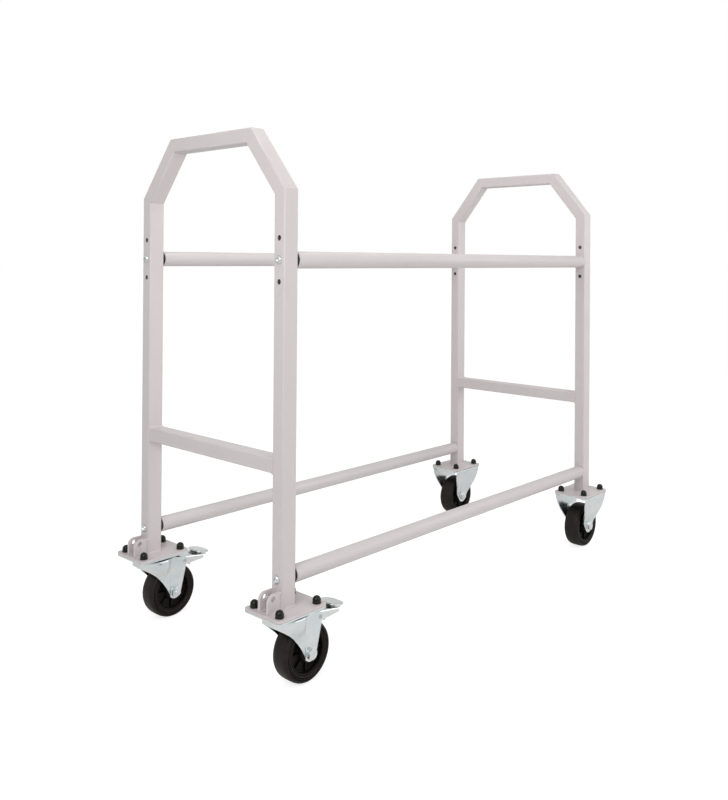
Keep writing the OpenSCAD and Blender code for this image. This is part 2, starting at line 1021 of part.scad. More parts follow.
upright(brake_end, right);  // brake_end_right_upright
upright(brake_end, left);  // brake_end_left_upright
upright(fixed_end, right);  // fixed_end_right_upright
upright(fixed_end, left);  // fixed_end_left_upright
shoulder(brake_end, right);  // brake_end_right_shoulder
shoulder(brake_end, left);  // brake_end_left_shoulder
shoulder(fixed_end, right);  // fixed_end_right_shoulder
shoulder(fixed_end, left);  // fixed_end_left_shoulder
top_bar(brake_end);  // brake_end_top_bar
top_bar(fixed_end);  // fixed_end_top_bar
crossbar(brake_end);  // brake_end_crossbar
crossbar(fixed_end);  // fixed_end_crossbar
base_plate(brake_end, right);  // brake_end_right_base_plate
base_plate(brake_end, left);  // brake_end_left_base_plate
base_plate(fixed_end, right);  // fixed_end_right_base_plate
base_plate(fixed_end, left);  // fixed_end_left_base_plate
tow_ears(right);  // right_tow_ears
tow_ears(left);  // left_tow_ears
rail(right, upper_rail_height);  // right_upper_rail
rail(left, upper_rail_height);  // left_upper_rail
rail(right, lower_rail_height);  // right_lower_rail
rail(left, lower_rail_height);  // left_lower_rail
rail_end_plugs();
rail_inserts();
rail_screws();
caster_bolts();
caster_nuts();
nut_caps();
swivel_plate(right);  // right_swivel_plate
swivel_plate(left);  // left_swivel_plate
kingpin(right);  // right_kingpin
kingpin(left);  // left_kingpin
bearing_balls(right);  // right_bearing_balls
bearing_balls(left);  // left_bearing_balls
lower_race(right);  // right_lower_race
lower_race(left);  // left_lower_race
swivel_fork(right);  // right_swivel_fork
swivel_fork(left);  // left_swivel_fork
swivel_axle(right);  // right_swivel_axle
swivel_axle(left);  // left_swivel_axle
swivel_sleeve(right);  // right_swivel_sleeve
swivel_sleeve(left);  // left_swivel_sleeve
swivel_hub(right);  // right_swivel_hub
swivel_hub(left);  // left_swivel_hub
swivel_tyre(right);  // right_swivel_tyre
swivel_tyre(left);  // left_swivel_tyre
brake_pedal(right);  // right_brake_pedal
brake_pedal(left);  // left_brake_pedal
brake_pin(right);  // right_brake_pin
brake_pin(left);  // left_brake_pin
fixed_bracket(right);  // right_fixed_bracket
fixed_bracket(left);  // left_fixed_bracket
fixed_axle(right);  // right_fixed_axle
fixed_axle(left);  // left_fixed_axle
fixed_sleeve(right);  // right_fixed_sleeve
fixed_sleeve(left);  // left_fixed_sleeve
fixed_hub(right);  // right_fixed_hub
fixed_hub(left);  // left_fixed_hub
fixed_tyre(right);  // right_fixed_tyre
fixed_tyre(left);  // left_fixed_tyre
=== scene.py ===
# Tyre trolley: light grey hoops and rails on zinc plated casters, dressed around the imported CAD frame.
# Pieces are drawn in millimetres round their own place and put in place, in metres, when they are made.
import json
import math
import bmesh
import bpy
from mathutils import Matrix, Vector


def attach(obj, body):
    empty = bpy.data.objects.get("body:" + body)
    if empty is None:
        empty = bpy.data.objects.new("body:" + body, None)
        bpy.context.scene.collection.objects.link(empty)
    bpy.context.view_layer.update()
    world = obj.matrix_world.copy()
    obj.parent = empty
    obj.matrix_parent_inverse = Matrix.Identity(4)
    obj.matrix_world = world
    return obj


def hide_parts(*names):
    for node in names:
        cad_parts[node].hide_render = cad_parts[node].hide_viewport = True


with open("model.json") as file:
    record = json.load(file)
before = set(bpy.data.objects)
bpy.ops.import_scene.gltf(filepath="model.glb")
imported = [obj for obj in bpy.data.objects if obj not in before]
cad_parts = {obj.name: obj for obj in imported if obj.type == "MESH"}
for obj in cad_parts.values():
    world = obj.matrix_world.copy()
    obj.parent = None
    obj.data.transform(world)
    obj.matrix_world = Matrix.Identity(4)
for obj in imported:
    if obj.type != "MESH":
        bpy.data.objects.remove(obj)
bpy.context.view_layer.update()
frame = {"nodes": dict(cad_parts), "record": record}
nodes = frame["nodes"]
print("frame loaded:", len(nodes), "nodes")


# Sizes that several pieces share, the same as in the solids
sides = {"right": -1, "left": 1}
ends = (-1, 1)  # brake end, fixed end
sideY = 187.5  # mid-plane of the uprights and casters
endX = 480.0  # swivel axes and fixed wheels
frameEnd = 500.0
tubeSize = (30.0, 25.0)
plateTop = 132.0
boltGap = (80.0, 60.0)
railHeights = (178.0, 686.0)
trail = 35.0  # from a swivel axis to its wheel's axle
axleHeight = 50.0
brakePin = (57.0, 102.5)  # behind the swivel axis, and above the floor


# Camera: the photograph's viewpoint
cameraSpot = {
    "place": (-1.4079, -1.2109, 0.6870),
    "yaw": 42.752, "pitch": 0.263, "roll": 0.407,
    "sensor": 36.0, "lens": 38.5, "shift": -0.1801,
}


def makeCamera(spot):
    yaw, pitch, roll = (math.radians(spot[key]) for key in ("yaw", "pitch", "roll"))
    ahead = Vector((math.cos(yaw) * math.cos(pitch), math.sin(yaw) * math.cos(pitch), math.sin(pitch)))
    across = Vector((math.sin(yaw), -math.cos(yaw), 0))
    up = across.cross(ahead)
    turnedAcross = across * math.cos(roll) + up * math.sin(roll)
    turnedUp = up * math.cos(roll) - across * math.sin(roll)
    camera = bpy.data.objects.new("camera", bpy.data.cameras.new("camera"))
    bpy.context.scene.collection.objects.link(camera)
    turn = Matrix((turnedAcross, turnedUp, -ahead)).transposed().to_4x4()
    camera.matrix_world = Matrix.Translation(spot["place"]) @ turn
    camera.data.sensor_width = spot["sensor"]
    camera.data.lens = spot["lens"]
    camera.data.shift_y = spot["shift"]
    bpy.context.scene.camera = camera


makeCamera(cameraSpot)


# Materials. A noise pattern is (scale, detail), and a bump is (strength, depth in metres)
paint = {
    "coat": 0.12, "coatRough": 0.3,
    "cloud": (14.0, 4.0), "gloss": (45.0, 5.0), "rough": (0.36, 0.5),
    "peel": (520.0, 2.0), "peelBump": (0.30, 0.00012),
    "grain": (2600.0, 1.0), "grainBump": (0.25, 0.00003),
}
plating = {
    "cloud": (38.0, 5.0), "swirl": 0.8, "cloudEdges": (0.35, 0.65), "creviceShade": 0.02,
    "dents": (30.0, 1.0), "dentDepth": 0.002,
    "patches": (160.0, 4.0), "patchBump": (0.12, 0.0002),
    "rolling": (900.0, 3.0), "rollingBump": (0.18, 0.00004),
}
plastic = {
    "cloud": (90.0, 4.0), "gloss": (240.0, 3.0), "creviceShade": 0.001,
    "grainDetail": 3.0, "grainDepth": 0.0001,
}
shade = {"samples": 8, "shut": 0.15, "open": 0.65}  # openness at which the painted crevice shade is darkest, and at which it stops


def startMaterial(name, **settings):
    material = bpy.data.materials.new(name)
    material.use_nodes = True
    shader = material.node_tree.nodes["Principled BSDF"]
    for socket, value in settings.items():
        shader.inputs[socket.replace("_", " ")].default_value = value
    return material, material.node_tree, shader


def addNode(tree, kind, inputs=None, **settings):
    node = tree.nodes.new(kind)
    for key, value in settings.items():
        setattr(node, key, value)
    for key, value in (inputs or {}).items():
        if isinstance(value, bpy.types.NodeSocket):
            tree.links.new(value, node.inputs[key])
        else:
            node.inputs[key].default_value = value
    return node


def addNoise(tree, scale, detail, swirl=0.0):
    place = addNode(tree, "ShaderNodeTexCoord").outputs["Object"]
    settings = {"Vector": place, "Scale": scale, "Detail": detail, "Distortion": swirl}
    return addNode(tree, "ShaderNodeTexNoise", settings).outputs["Fac"]


def addRange(tree, value, low, high, start=0.3, stop=0.7):
    # most of a noise pattern lies between 0.3 and 0.7
    settings = {"Value": value, "From Min": start, "From Max": stop, "To Min": low, "To Max": high}
    return addNode(tree, "ShaderNodeMapRange", settings).outputs["Result"]


def mixColours(tree, share, first, second):
    # a mix of colours uses sockets 6 and 7 and output 2
    mix = addNode(tree, "ShaderNodeMix", {0: share, 6: first, 7: second}, data_type="RGBA")
    return mix.outputs[2]


# Painted shade: ambient occlusion darkens a colour towards dark grey in crevices, gaps and under parts
def addPaintedShade(tree, colour, reach, dark):
    if not reach:
        return colour
    settings = {"Distance": reach}
    openness = addNode(tree, "ShaderNodeAmbientOcclusion", settings, samples=shade["samples"])
    share = addRange(tree, openness.outputs["AO"], 0.0, 1.0, shade["shut"], shade["open"])
    return mixColours(tree, share, (dark, dark, dark, 1), colour)


def addBumps(tree, shader, *layers):
    last = None
    for height, strength, depth in layers:
        settings = {"Height": height, "Strength": strength, "Distance": depth}
        if last is not None:
            settings["Normal"] = last
        last = addNode(tree, "ShaderNodeBump", settings).outputs["Normal"]
    tree.links.new(last, shader.inputs["Normal"])


def makePaint(name, light, dark):
    material, tree, shader = startMaterial(name, Coat_Weight=paint["coat"], Coat_Roughness=paint["coatRough"])
    cloud = addRange(tree, addNoise(tree, *paint["cloud"]), 0.0, 1.0)
    tree.links.new(mixColours(tree, cloud, (*light, 1), (*dark, 1)), shader.inputs["Base Color"])
    gloss = addRange(tree, addNoise(tree, *paint["gloss"]), *paint["rough"])
    tree.links.new(gloss, shader.inputs["Roughness"])
    peel = addNoise(tree, *paint["peel"])
    grain = addNoise(tree, *paint["grain"])
    addBumps(tree, shader, (peel, *paint["peelBump"]), (grain, *paint["grainBump"]))
    return material


def makeMetal(name, cool, warm, rough, wave, shadeReach=0.0):
    material, tree, shader = startMaterial(name, Metallic=1.0)
    pattern = addNoise(tree, *plating["cloud"], plating["swirl"])
    cloud = addRange(tree, pattern, 0.0, 1.0, *plating["cloudEdges"])
    tint = mixColours(tree, cloud, (*cool, 1), (*warm, 1))
    # painted shade in the plating's crevices and gaps, where parts meet
    tree.links.new(addPaintedShade(tree, tint, shadeReach, plating["creviceShade"]), shader.inputs["Base Color"])
    patches = addNoise(tree, *plating["patches"])
    tree.links.new(addRange(tree, patches, *rough), shader.inputs["Roughness"])
    rolling = addNoise(tree, *plating["rolling"])
    dents = addNoise(tree, *plating["dents"])
    addBumps(tree, shader, (dents, wave, plating["dentDepth"]), (patches, *plating["patchBump"]),
             (rolling, *plating["rollingBump"]))
    return material


def makePlastic(name, colour, paler, shine, rough, grain, strength, shadeReach=0.0):
    material, tree, shader = startMaterial(name, Specular_IOR_Level=shine)
    cloud = addRange(tree, addNoise(tree, *plastic["cloud"]), 0.0, 1.0)
    tint = mixColours(tree, cloud, (*colour, 1), (*paler, 1))
    # painted shade in the plastic's recesses
    tree.links.new(addPaintedShade(tree, tint, shadeReach, plastic["creviceShade"]), shader.inputs["Base Color"])
    gloss = addRange(tree, addNoise(tree, *plastic["gloss"]), *rough)
    tree.links.new(gloss, shader.inputs["Roughness"])
    addBumps(tree, shader, (addNoise(tree, grain, plastic["grainDetail"]), strength, plastic["grainDepth"]))
    return material


paints = {
    "frame_paint": {
        "name": "framePowderCoat", "light": (0.665, 0.610, 0.612), "dark": (0.645, 0.592, 0.594),
    },
    "rail_paint": {
        "name": "railPowderCoat", "light": (0.655, 0.607, 0.606), "dark": (0.636, 0.589, 0.588),
    },
}
metals = {
    "zinc": {
        "name": "zincFasteners", "cool": (0.70, 0.74, 0.77), "warm": (0.80, 0.80, 0.78),
        "rough": (0.14, 0.30), "wave": 0.1,
    },
    "zinc_sheet": {
        "name": "zincSheet", "cool": (0.70, 0.77, 0.79), "warm": (0.82, 0.82, 0.80),
        # the sheet parts get painted shade in their gaps, within 14 mm
        "rough": (0.14, 0.28), "wave": 0.35, "shadeReach": 0.014,
    },
    "inner_steel": {
        "name": "plainSteel", "cool": (0.50, 0.51, 0.53), "warm": (0.60, 0.60, 0.60),
        "rough": (0.25, 0.42), "wave": 0.1,
    },
}
blacks = {
    "dark_plug": {
        "name": "darkPlug", "colour": (0.020, 0.020, 0.022), "paler": (0.034, 0.034, 0.036),
        "shine": 0.3, "rough": (0.45, 0.60), "grain": 1400.0, "strength": 0.2,
    },
    "black_cap": {
        "name": "glossyCap", "colour": (0.002, 0.0015, 0.0015), "paler": (0.004, 0.003, 0.003),
        "shine": 0.34, "rough": (0.02, 0.06), "grain": 500.0, "strength": 0.03,
    },
    "black_hub": {
        "name": "blackHub", "colour": (0.008, 0.007, 0.006), "paler": (0.013, 0.011, 0.010),
        # the hubs get painted shade in their recesses
        "shine": 0.1, "rough": (0.35, 0.5), "grain": 1300.0, "strength": 0.2, "shadeReach": 0.03,
    },
    "tyre_rubber": {
        "name": "tyreRubber", "colour": (0.012, 0.009, 0.008), "paler": (0.019, 0.015, 0.013),
        "shine": 0.19, "rough": (0.3, 0.46), "grain": 1600.0, "strength": 0.3,
    },
}
materials = {slot: makePaint(**values) for slot, values in paints.items()}
materials.update({slot: makeMetal(**values) for slot, values in metals.items()})
materials.update({slot: makePlastic(**values) for slot, values in blacks.items()})
slotOf = {row["node"]: row["material_slot"] for row in frame["record"]["subparts"]}
print("materials ready:", len(materials))


# Helpers for pieces
toMetres = 0.001
joinGap = 0.0005  # vertices closer than this, in millimetres, become one
cutterHalf = 60.0  # half the depth of an outline's cutter
softEdge = {"segments": 2, "angle": 35.0}
toY = Matrix.Rotation(math.radians(-90), 4, "X")  # turns a piece drawn along Z to lie along Y
unmoved = Matrix.Identity(4)


def placeAt(x, y, z=0.0, turn=unmoved):
    return Matrix.Scale(toMetres, 4) @ Matrix.Translation((x, y, z)) @ turn


def filletLine(corners, steps=6):
    points = []
    for spot, (across, along, radius) in enumerate(corners):
        here = Vector((across, along))
        if not radius:
            points.append(tuple(here))
            continue
        back = Vector(corners[spot - 1][:2]) - here
        ahead = Vector(corners[(spot + 1) % len(corners)][:2]) - here
        half = back.angle(ahead) / 2
        centre = here + (back.normalized() + ahead.normalized()).normalized() * radius / math.sin(half)
        first = here + back.normalized() * radius / math.tan(half) - centre
        last = here + ahead.normalized() * radius / math.tan(half) - centre
        sweep = math.pi - 2 * half
        for step in range(steps + 1):
            share = step / steps
            arm = first * math.sin((1 - share) * sweep) + last * math.sin(share * sweep)
            points.append(tuple(centre + arm / math.sin(sweep)))
    return points


def arcPoints(centre, radius, first, last, steps):
    turns = [math.radians(first + (last - first) * step / steps) for step in range(steps + 1)]
    return [(centre[0] + radius * math.cos(turn), centre[1] + radius * math.sin(turn)) for turn in turns]


def tangentTurn(point, centre, radius):
    # where on the circle, in degrees, a straight edge from the point touches it
    run, rise = point[0] - centre[0], point[1] - centre[1]
    return math.degrees(math.atan2(rise, run) - math.acos(radius / math.hypot(run, rise)))


def roundedRect(length, width, radius, height):
    x, y = length / 2, width / 2
    flat = filletLine([(x, y, radius), (-x, y, radius), (-x, -y, radius), (x, -y, radius)])
    return [(across, along, height) for across, along in flat]


def drawLine(bm, points, closed=False):
    dots = [bm.verts.new(point) for point in points]
    pairs = list(zip(dots, dots[1:] + dots[:1] if closed else dots[1:]))
    return dots, [bm.edges.new(pair) for pair in pairs]


def stackLines(bm, lines, closed=True, caps=(False, False), joined=False):
    rings = [drawLine(bm, line, closed)[1] for line in lines]
    following = rings[1:] + rings[:1] if joined else rings[1:]
    for first, second in zip(rings, following):
        bmesh.ops.bridge_loops(bm, edges=first + second)
    for ring, wanted in zip((rings[0], rings[-1]), caps):
        if wanted:
            bmesh.ops.contextual_create(bm, geom=ring)


def drawPrism(outline):
    bm = bmesh.new()
    face = bm.faces.new([bm.verts.new((across, -cutterHalf, up)) for across, up in outline])
    grown = bmesh.ops.extrude_face_region(bm, geom=[face])["geom"]
    dots = [item for item in grown if isinstance(item, bmesh.types.BMVert)]
    bmesh.ops.translate(bm, verts=dots, vec=(0, 2 * cutterHalf, 0))
    bmesh.ops.recalc_face_normals(bm, faces=bm.faces)
    return bm


def addBlock(bm, size, middle):
    dots = bmesh.ops.create_cube(bm, size=1.0)["verts"]
    bmesh.ops.scale(bm, vec=size, verts=dots)
    bmesh.ops.translate(bm, vec=middle, verts=dots)
    return dots


def addMesh(bm, other, matrix=unmoved):
    bmesh.ops.transform(other, matrix=matrix, verts=other.verts)
    mesh = bpy.data.meshes.new("part")
    other.to_mesh(mesh)
    other.free()
    bm.from_mesh(mesh)
    bpy.data.meshes.remove(mesh)


def spinRound(bm, outline, steps, closed=True):
    dots, edges = drawLine(bm, [(radius, 0, height) for radius, height in outline], closed)
    bmesh.ops.spin(bm, geom=dots + edges, cent=(0, 0, 0), axis=(0, 0, 1), angle=2 * math.pi,
                   steps=steps, use_merge=True)
    bmesh.ops.remove_doubles(bm, verts=bm.verts, dist=joinGap)


def softenEdges(piece, width):
    bevel = piece.modifiers.new("softEdges", "BEVEL")
    bevel.width = width
    bevel.segments = softEdge["segments"]
    bevel.limit_method = "ANGLE"
    bevel.angle_limit = math.radians(softEdge["angle"])
    bevel.harden_normals = True
    bevel.miter_outer = "MITER_ARC"


def giveFinish(piece, slot):
    piece.data.materials.clear()
    piece.data.materials.append(materials[slot])


def makeObject(bm, name, place=unmoved, recalc=True):
    bmesh.ops.transform(bm, matrix=place, verts=bm.verts)
    if recalc:
        bmesh.ops.recalc_face_normals(bm, faces=bm.faces)
    mesh = bpy.data.meshes.new(name)
    bm.to_mesh(mesh)
    bm.free()
    piece = bpy.data.objects.new(name, mesh)
    bpy.context.scene.collection.objects.link(piece)
    return piece


def makePiece(bm, name, place, slot, body, replaces=(), soft=0.0, sharp=35):
    piece = makeObject(bm, name, place)
    piece.data.polygons.foreach_set("use_smooth", [True] * len(piece.data.polygons))
    piece.data.set_sharp_from_angle(angle=math.radians(sharp))
    giveFinish(piece, slot)
    if soft:
        softenEdges(piece, soft)
    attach(piece, body)
    if replaces:
        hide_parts(*replaces)


def applyModifiers(piece):
    graph = bpy.context.evaluated_depsgraph_get()
    made = bpy.data.meshes.new_from_object(piece.evaluated_get(graph))
    old = piece.data
    piece.modifiers.clear()
    piece.data = made
    bpy.data.meshes.remove(old)


def cutAway(piece, cuts):
    cutters = []
    for cutter, operation in cuts:
        cutters.append(makeObject(cutter, "cutter"))
        cut = piece.modifiers.new("cut", "BOOLEAN")
        cut.operation = operation
        cut.solver = "EXACT"
        cut.object = cutters[-1]
    applyModifiers(piece)
    shaped = bmesh.new()
    shaped.from_mesh(piece.data)
    for used in [piece] + cutters:
        mesh = used.data
        bpy.data.objects.remove(used)
        bpy.data.meshes.remove(mesh)
    return shaped


def shapeSheet(bm, inside, thickness, cuts=()):
    # the wall grows from the drawn face towards the inside
    bmesh.ops.recalc_face_normals(bm, faces=bm.faces)
    bm.faces.ensure_lookup_table()
    first = bm.faces[0]
    if first.normal.dot(first.calc_center_median() - Vector(inside)) < 0:
        bmesh.ops.reverse_faces(bm, faces=bm.faces)
    sheet = makeObject(bm, "sheet", recalc=False)
    wall = sheet.modifiers.new("wall", "SOLIDIFY")
    wall.thickness = thickness
    wall.offset = -1.0
    wall.use_even_offset = True
    return cutAway(sheet, cuts)


# CAD nodes: each gets its finish, and those outside get soft edges, by width in metres
nodeEdges = {
    "frame_paint": 0.0006, "rail_paint": 0.0005,
    "zinc": 0.0004, "zinc_sheet": 0.0005, "dark_plug": 0.0004,
}
nodeMesh = {"join": 0.00001, "flat": 1.0}


def dressNode(name):
    piece = nodes[name]
    slot = slotOf[name]
    giveFinish(piece, slot)
    if slot not in nodeEdges:
        return
    weld = piece.modifiers.new("joined", "WELD")
    weld.merge_threshold = nodeMesh["join"]
    flat = piece.modifiers.new("flat", "DECIMATE")
    flat.decimate_type = "DISSOLVE"
    flat.angle_limit = math.radians(nodeMesh["flat"])
    softenEdges(piece, nodeEdges[slot])


for name in sorted(nodes):
    dressNode(name)
print("CAD nodes dressed")


# Tyres and hubs: half of each section, as (radius, distance from the wheel's middle)
tyre = {
    "steps": 160, "sharp": 50,
    "wall": [(50.0, 0.0), (49.97, 5.0), (49.8, 9.5), (49.2, 13.0), (47.9, 15.6), (46.0, 17.0), (44.6, 17.4),
             (44.1, 16.5), (43.6, 15.5), (43.1, 16.5), (42.6, 17.4), (41.4, 17.4), (40.9, 16.3), (40.4, 15.3),
             (39.9, 16.3), (39.4, 17.1), (38.2, 17.0), (37.4, 16.2), (37.0, 15.0)],
}
hub = {
    "steps": 128,
    "wall": [(37.0, 15.0), (36.6, 15.8), (35.2, 16.2), (33.8, 15.8), (33.0, 14.4), (32.4, 8.6), (30.6, 7.2),
             (17.6, 7.0), (16.0, 8.2), (15.4, 17.0), (14.6, 18.0), (9.4, 18.0), (8.1, 17.4)],
    "ribs": 8, "rib": (19.0, 2.6, 22.4), "ribMiddle": 24.2, "ribBevel": 0.9, "ribSegments": 2,
}


def makeTyre(name, place, body, node):
    bm = bmesh.new()
    other = [(radius, -height) for radius, height in reversed(tyre["wall"][1:])]
    spinRound(bm, other + tyre["wall"], tyre["steps"])
    makePiece(bm, name, place @ toY, "tyre_rubber", body, [node], sharp=tyre["sharp"])


def makeHub(name, place, body, node):
    bm = bmesh.new()
    other = [(radius, -height) for radius, height in reversed(hub["wall"])]
    spinRound(bm, other + hub["wall"], hub["steps"])
    for rib in range(hub["ribs"]):
        block = addBlock(bm, hub["rib"], (hub["ribMiddle"], 0, 0))
        edges = list(dict.fromkeys(edge for dot in block for edge in dot.link_edges))
        turn = Matrix.Rotation(2 * math.pi * rib / hub["ribs"], 3, "Z")
        bmesh.ops.rotate(bm, matrix=turn, cent=(0, 0, 0), verts=block)
        bmesh.ops.bevel(bm, geom=edges, offset=hub["ribBevel"], offset_type="OFFSET",
                        segments=hub["ribSegments"], profile=0.5, affect="EDGES", material=-1)
    makePiece(bm, name, place @ toY, "black_hub", body, [node])


# Axle bolts: chamfered hexagon head and nut, washers and the shank's end
axle = {
    "flats": 17.0, "head": 5.5, "chamfer": 0.7, "faceShare": 0.94, "ringSteps": 48,
    "legOuter": 22.0, "washer": 9.6, "washerHeight": 1.0, "washerBevel": 0.3, "sink": 0.1,
    "shank": 5.0, "shankBevel": 0.8, "shankEnds": (-30.5, 27.0), "rodSteps": 32,
    "soft": 0.00025, "sharp": 30,
}


def hexRing(flats, height, inner=None, drop=0.0):
    ring = []
    third = math.radians(60)
    for step in range(axle["ringSteps"]):
        angle = 2 * math.pi * step / axle["ringSteps"]
        corner = flats / 2 / math.cos((angle + third / 2) % third - third / 2)
        radius = corner if inner is None else inner
        fall = drop * (corner - flats / 2) if inner is None else 0.0
        ring.append((radius * math.cos(angle), radius * math.sin(angle), height - fall))
    return ring


def addHexHead(bm, flats, height, base, up):
    face = flats / 2 * axle["faceShare"]
    top = base + up * height
    rings = [hexRing(flats, base), hexRing(flats, top, drop=up * axle["chamfer"]), hexRing(flats, top, face)]
    stackLines(bm, rings, caps=(True, True))


def addRod(bm, radius, start, stop, steps=32, bevel=0.4):
    low, high = min(start, stop), max(start, stop)
    outline = [(0, low), (radius - bevel, low), (radius, low + bevel),
               (radius, high - bevel), (radius - bevel, high), (0, high)]
    part = bmesh.new()
    spinRound(part, outline, steps, closed=False)
    addMesh(bm, part)


def makeAxleBolt(name, place, body, node, sign):
    bm = bmesh.new()
    outer, washer = axle["legOuter"], axle["washerHeight"]
    for up in (1, -1):
        addHexHead(bm, axle["flats"], axle["head"], up * (outer + washer), up)
    for up in (1, -1):
        reach = outer + (washer + axle["sink"])
        addRod(bm, axle["washer"], up * outer, up * reach, axle["ringSteps"], axle["washerBevel"])
    addRod(bm, axle["shank"], *axle["shankEnds"], axle["rodSteps"], axle["shankBevel"])
    turn = toY if sign > 0 else Matrix.Rotation(math.radians(90), 4, "X")
    makePiece(bm, name, place @ turn, "zinc", body, [node], axle["soft"], axle["sharp"])


for side, sign in sides.items():
    swivelWheel = placeAt(-endX + trail, sign * sideY, axleHeight)
    fixedWheel = placeAt(endX, sign * sideY, axleHeight)
    makeTyre(f"{side}_swivel_tyre_ribbed", swivelWheel, f"{side}_swivel_wheel", f"{side}_swivel_tyre")
    makeTyre(f"{side}_fixed_tyre_ribbed", fixedWheel, f"{side}_fixed_wheel", f"{side}_fixed_tyre")
    makeHub(f"{side}_swivel_hub_ribbed", swivelWheel, f"{side}_swivel_wheel", f"{side}_swivel_hub")
    makeHub(f"{side}_fixed_hub_ribbed", fixedWheel, f"{side}_fixed_wheel", f"{side}_fixed_hub")
    makeAxleBolt(f"{side}_swivel_axle_bolt", swivelWheel, f"{side}_swivel", f"{side}_swivel_axle", sign)
    makeAxleBolt(f"{side}_fixed_axle_bolt", fixedWheel, "frame", f"{side}_fixed_axle", sign)
print("wheels made")


# Nut caps: glossy domes on a small foot
cap = {
    "height": 12.5, "radius": 7.0, "domeTurn": 9, "steps": 40, "sharp": 40,
    "foot": 7.27, "footHeight": 1.6, "footRise": 0.5, "footBevel": 0.4,
}


def makeNutCaps():
    bm = bmesh.new()
    radius, centre = cap["radius"], cap["height"] - cap["radius"]
    foot, rim, bevel = cap["foot"], cap["footHeight"], cap["footBevel"]
    angles = [math.radians(turn) for turn in range(0, 90, cap["domeTurn"])]
    dome = [(radius * math.cos(angle), centre + radius * math.sin(angle)) for angle in angles]
    outline = [(foot - bevel, 0), (foot, cap["footRise"]), (foot, rim - bevel),
               (foot - bevel / 2, rim), (radius, rim + bevel)]
    spinRound(bm, [(0, 0)] + outline + dome + [(0, cap["height"])], cap["steps"], closed=False)
    first = list(bm.verts) + list(bm.edges) + list(bm.faces)
    plates = [(end * endX, sign * sideY) for end in ends for sign in sides.values()]
    bolts = [(x * boltGap[0] / 2, y * boltGap[1] / 2) for x in (-1, 1) for y in (-1, 1)]
    for plateX, plateY in plates:
        for boltX, boltY in bolts:
            copy = bmesh.ops.duplicate(bm, geom=first)["geom"]
            dots = [item for item in copy if isinstance(item, bmesh.types.BMVert)]
            bmesh.ops.translate(bm, verts=dots, vec=(plateX + boltX, plateY + boltY, plateTop))
    dots = [item for item in first if isinstance(item, bmesh.types.BMVert)]
    bmesh.ops.delete(bm, geom=dots, context="VERTS")
    makePiece(bm, "nut_cap_domes", placeAt(0, 0), "black_cap", "frame", ["nut_caps"], sharp=cap["sharp"])


makeNutCaps()


# Rails: drawn tube with softened ends
rail = {"radius": 14.0, "wall": 2.0, "start": -466.0, "stop": 470.0, "soft": 0.8, "round": 0.25, "steps": 64}


def makeRail(name, place, node):
    bm = bmesh.new()
    outer, inner, soft, bend = rail["radius"], rail["radius"] - rail["wall"], rail["soft"], rail["round"]
    start, stop = rail["start"], rail["stop"]
    outline = [(inner, start), (outer - soft, start), (outer - bend, start + bend), (outer, start + soft),
               (outer, 0),
               (outer, stop - soft), (outer - bend, stop - bend), (outer - soft, stop), (inner, stop)]
    spinRound(bm, outline, rail["steps"])
    makePiece(bm, name, place @ Matrix.Rotation(math.radians(90), 4, "Y"), "rail_paint", "frame", [node])


for side, sign in sides.items():
    makeRail(f"{side}_lower_rail_tube", placeAt(0, sign * sideY, railHeights[0]), f"{side}_lower_rail")
    makeRail(f"{side}_upper_rail_tube", placeAt(0, sign * sideY, railHeights[1]), f"{side}_upper_rail")
print("rails and caps made")


# Swivel forks: a pressed shell that flows from the round crown into two flat legs
fork = {
    "crown": 38.0, "top": 121.0, "edge": 4.0, "edgeSteps": 6, "sheet": 3.0, "innerSoft": 0.8,
    "pinBore": 6.1, "steps": 128, "inside": (0, 0, 100),
    "leg": 22.0, "bendLow": 74.0, "bendHigh": 114.0, "legStops": (68.0, 56.0, 44.0, 34.0), "legEnd": 13.0,
    "crease": 25.0, "creaseRun": 18.0, "groove": 0.8, "grooveHalf": (1.6, 0.4),
    "nose": -31.0, "noseSteps": 20, "swell": 2.2, "sideStep": 3.0, "sideSteps": 18,
    "levels": [115, 113, 111, 109, 107, 105, 103, 101, 99, 97, 95, 93, 91, 87, 81, 72, 62, 50, 34],
    "lug": 7.0, "lugRoot": (14.0, 118.0), "lugRun": 4.0, "lugPast": 12, "lugSteps": 10,
    "heel": (60.0, 95.5), "footPast": 8, "scoopTop": (-38.5, 109.5), "scoopFoot": (24.0, 45.0),
    "scoopRadius": 150.0, "arcSteps": 20, "spare": 1.0, "cover": 3.0,
    "soft": 0.0005, "sharp": 30,
}


def forkSide(x, bend):
    leg, nose, crease = fork["leg"], fork["nose"], fork["crease"]
    if x >= crease:
        return leg
    circle = math.sqrt(fork["crown"] ** 2 - x ** 2)
    ramp = math.sin(min(1.0, (crease - x) / fork["creaseRun"]) * math.pi / 2)
    swell = fork["swell"] * math.sin(math.pi * (crease - x) / (crease - nose))
    return leg + bend * ramp * (circle - leg) + (1 - bend) * swell


def forkLine(height):
    share = (height - fork["bendLow"]) / (fork["bendHigh"] - fork["bendLow"])
    share = min(1.0, max(0.0, share))
    bend = share * share * (3 - 2 * share)
    crease, depth = fork["crease"], fork["groove"]
    lip, bottom = fork["grooveHalf"]
    groove = [(crease + lip, 0.0), (crease + bottom, depth), (crease - bottom, depth)]
    side = [(x, fork["leg"]) for x in fork["legStops"]]
    side += [(x, forkSide(x, bend) - deep) for x, deep in groove]
    xs = [crease - lip] + [crease - fork["sideStep"] * (step + 1) for step in range(fork["sideSteps"])]
    side += [(x, forkSide(x, bend)) for x in xs if x > fork["nose"] + fork["spare"]]
    first = math.acos(fork["nose"] / fork["crown"])
    count = fork["noseSteps"]
    turns = [first + (2 * math.pi - 2 * first) * step / count for step in range(count + 1)]
    nose = [(fork["crown"] * math.cos(turn), fork["crown"] * math.sin(turn)) for turn in turns]
    flat = side + nose + [(x, -y) for x, y in reversed(side)]
    return [(x, y, height) for x, y in flat]


